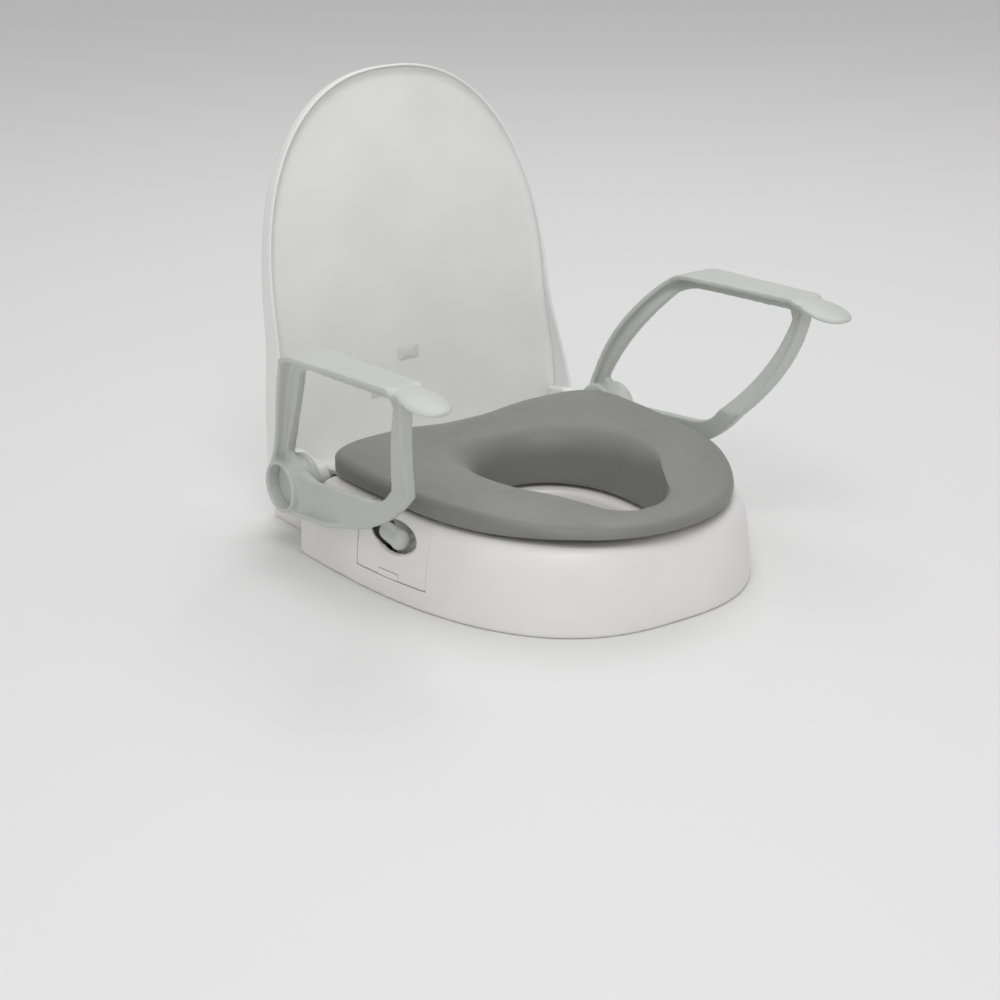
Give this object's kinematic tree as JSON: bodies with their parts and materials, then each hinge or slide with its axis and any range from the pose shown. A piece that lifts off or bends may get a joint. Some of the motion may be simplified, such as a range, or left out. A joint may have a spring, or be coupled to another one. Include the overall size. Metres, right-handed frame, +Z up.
{
  "type": "raised toilet seat",
  "caption": "Raised toilet seat with a deep white collar, a soft grey padded ring seat, a hinged white lid and fold-up arm supports.",
  "frame": {"origin": "on the plane of the collar's lower edge, under the middle of the object's box, on its plane of symmetry", "axes": "+Z up, -Y the way the sitter faces, so the lid is at +Y; +X is the sitter's left"},
  "size_m": [0.524, 0.4996, 0.4523],
  "materials": {
    "collar_white": "satin, slightly warm white moulding",
    "lid_white": "satin white moulding",
    "arm_grey": "fine satin, pale warm grey-green moulding",
    "cushion_grey": "soft satin skin over polyurethane foam",
    "carrier_grey": "plain grey moulding",
    "nylon_natural": "natural nylon",
    "zinc_steel": "zinc plated",
    "pad_rubber": "soft black rubber",
    "label_pale": "blank paper-faced sticker"
  },
  "bodies": {
    "base": {"collar": "collar_white", "fixing_bracket": "zinc_steel", "seat_cushion": "cushion_grey", "seat_carrier": "carrier_grey", "side_panel_right": "collar_white", "bracket_screw_right": "zinc_steel", "pivot_axle_right": "zinc_steel", "axle_washer_right": "zinc_steel", "axle_screw_right": "zinc_steel", "catch_spring_right": "zinc_steel", "rim_pad_rear_right": "pad_rubber", "carrier_peg_rear_right": "carrier_grey", "rim_pad_front_right": "pad_rubber", "carrier_peg_front_right": "carrier_grey", "side_panel_left": "collar_white", "bracket_screw_left": "zinc_steel", "pivot_axle_left": "zinc_steel", "axle_washer_left": "zinc_steel", "axle_screw_left": "zinc_steel", "catch_spring_left": "zinc_steel", "rim_pad_rear_left": "pad_rubber", "carrier_peg_rear_left": "carrier_grey", "rim_pad_front_left": "pad_rubber", "carrier_peg_front_left": "carrier_grey"},
    "lid": {"lid_shell": "lid_white", "lid_inner_panel": "lid_white", "lid_label_upper": "label_pale", "lid_label_lower": "label_pale", "lid_bush_right": "nylon_natural", "lid_bush_left": "nylon_natural"},
    "arm_right": {"arm_frame_right": "arm_grey", "arm_bush_right": "nylon_natural", "pivot_cap_right": "arm_grey"},
    "catch_right": {"arm_catch_right": "arm_grey"},
    "tab_right": {"panel_release_tab_right": "collar_white"},
    "arm_left": {"arm_frame_left": "arm_grey", "arm_bush_left": "nylon_natural", "pivot_cap_left": "arm_grey"},
    "catch_left": {"arm_catch_left": "arm_grey"},
    "tab_left": {"panel_release_tab_left": "collar_white"}
  },
  "joints": [
    {"name": "lid_hinge", "type": "hinge", "parent": "base", "child": "lid", "pos_m": [0, 0.1161, 0.0735], "axis": [1, 0, 0], "range_deg": [0, 100]},
    {"name": "arm_fold_right", "type": "hinge", "parent": "base", "child": "arm_right", "pos_m": [-0.2, 0.1161, 0.0735], "axis": [-1, 0, 0], "range_deg": [0, 95]},
    {"name": "arm_fold_left", "type": "hinge", "parent": "base", "child": "arm_left", "pos_m": [0.2, 0.1161, 0.0735], "axis": [-1, 0, 0], "range_deg": [0, 95]},
    {"name": "catch_press_right", "type": "slide", "parent": "base", "child": "catch_right", "axis": [1, 0, 0], "range_m": [0, 0.004], "stiffness_N_per_m": 500, "springref_m": -0.004},
    {"name": "tab_press_right", "type": "slide", "parent": "base", "child": "tab_right", "axis": [1, 0, 0], "range_m": [0, 0.002], "stiffness_N_per_m": 900, "springref_m": -0.002},
    {"name": "catch_press_left", "type": "slide", "parent": "base", "child": "catch_left", "axis": [-1, 0, 0], "range_m": [0, 0.004], "stiffness_N_per_m": 500, "springref_m": -0.004},
    {"name": "tab_press_left", "type": "slide", "parent": "base", "child": "tab_left", "axis": [-1, 0, 0], "range_m": [0, 0.002], "stiffness_N_per_m": 900, "springref_m": -0.002}
  ]
}
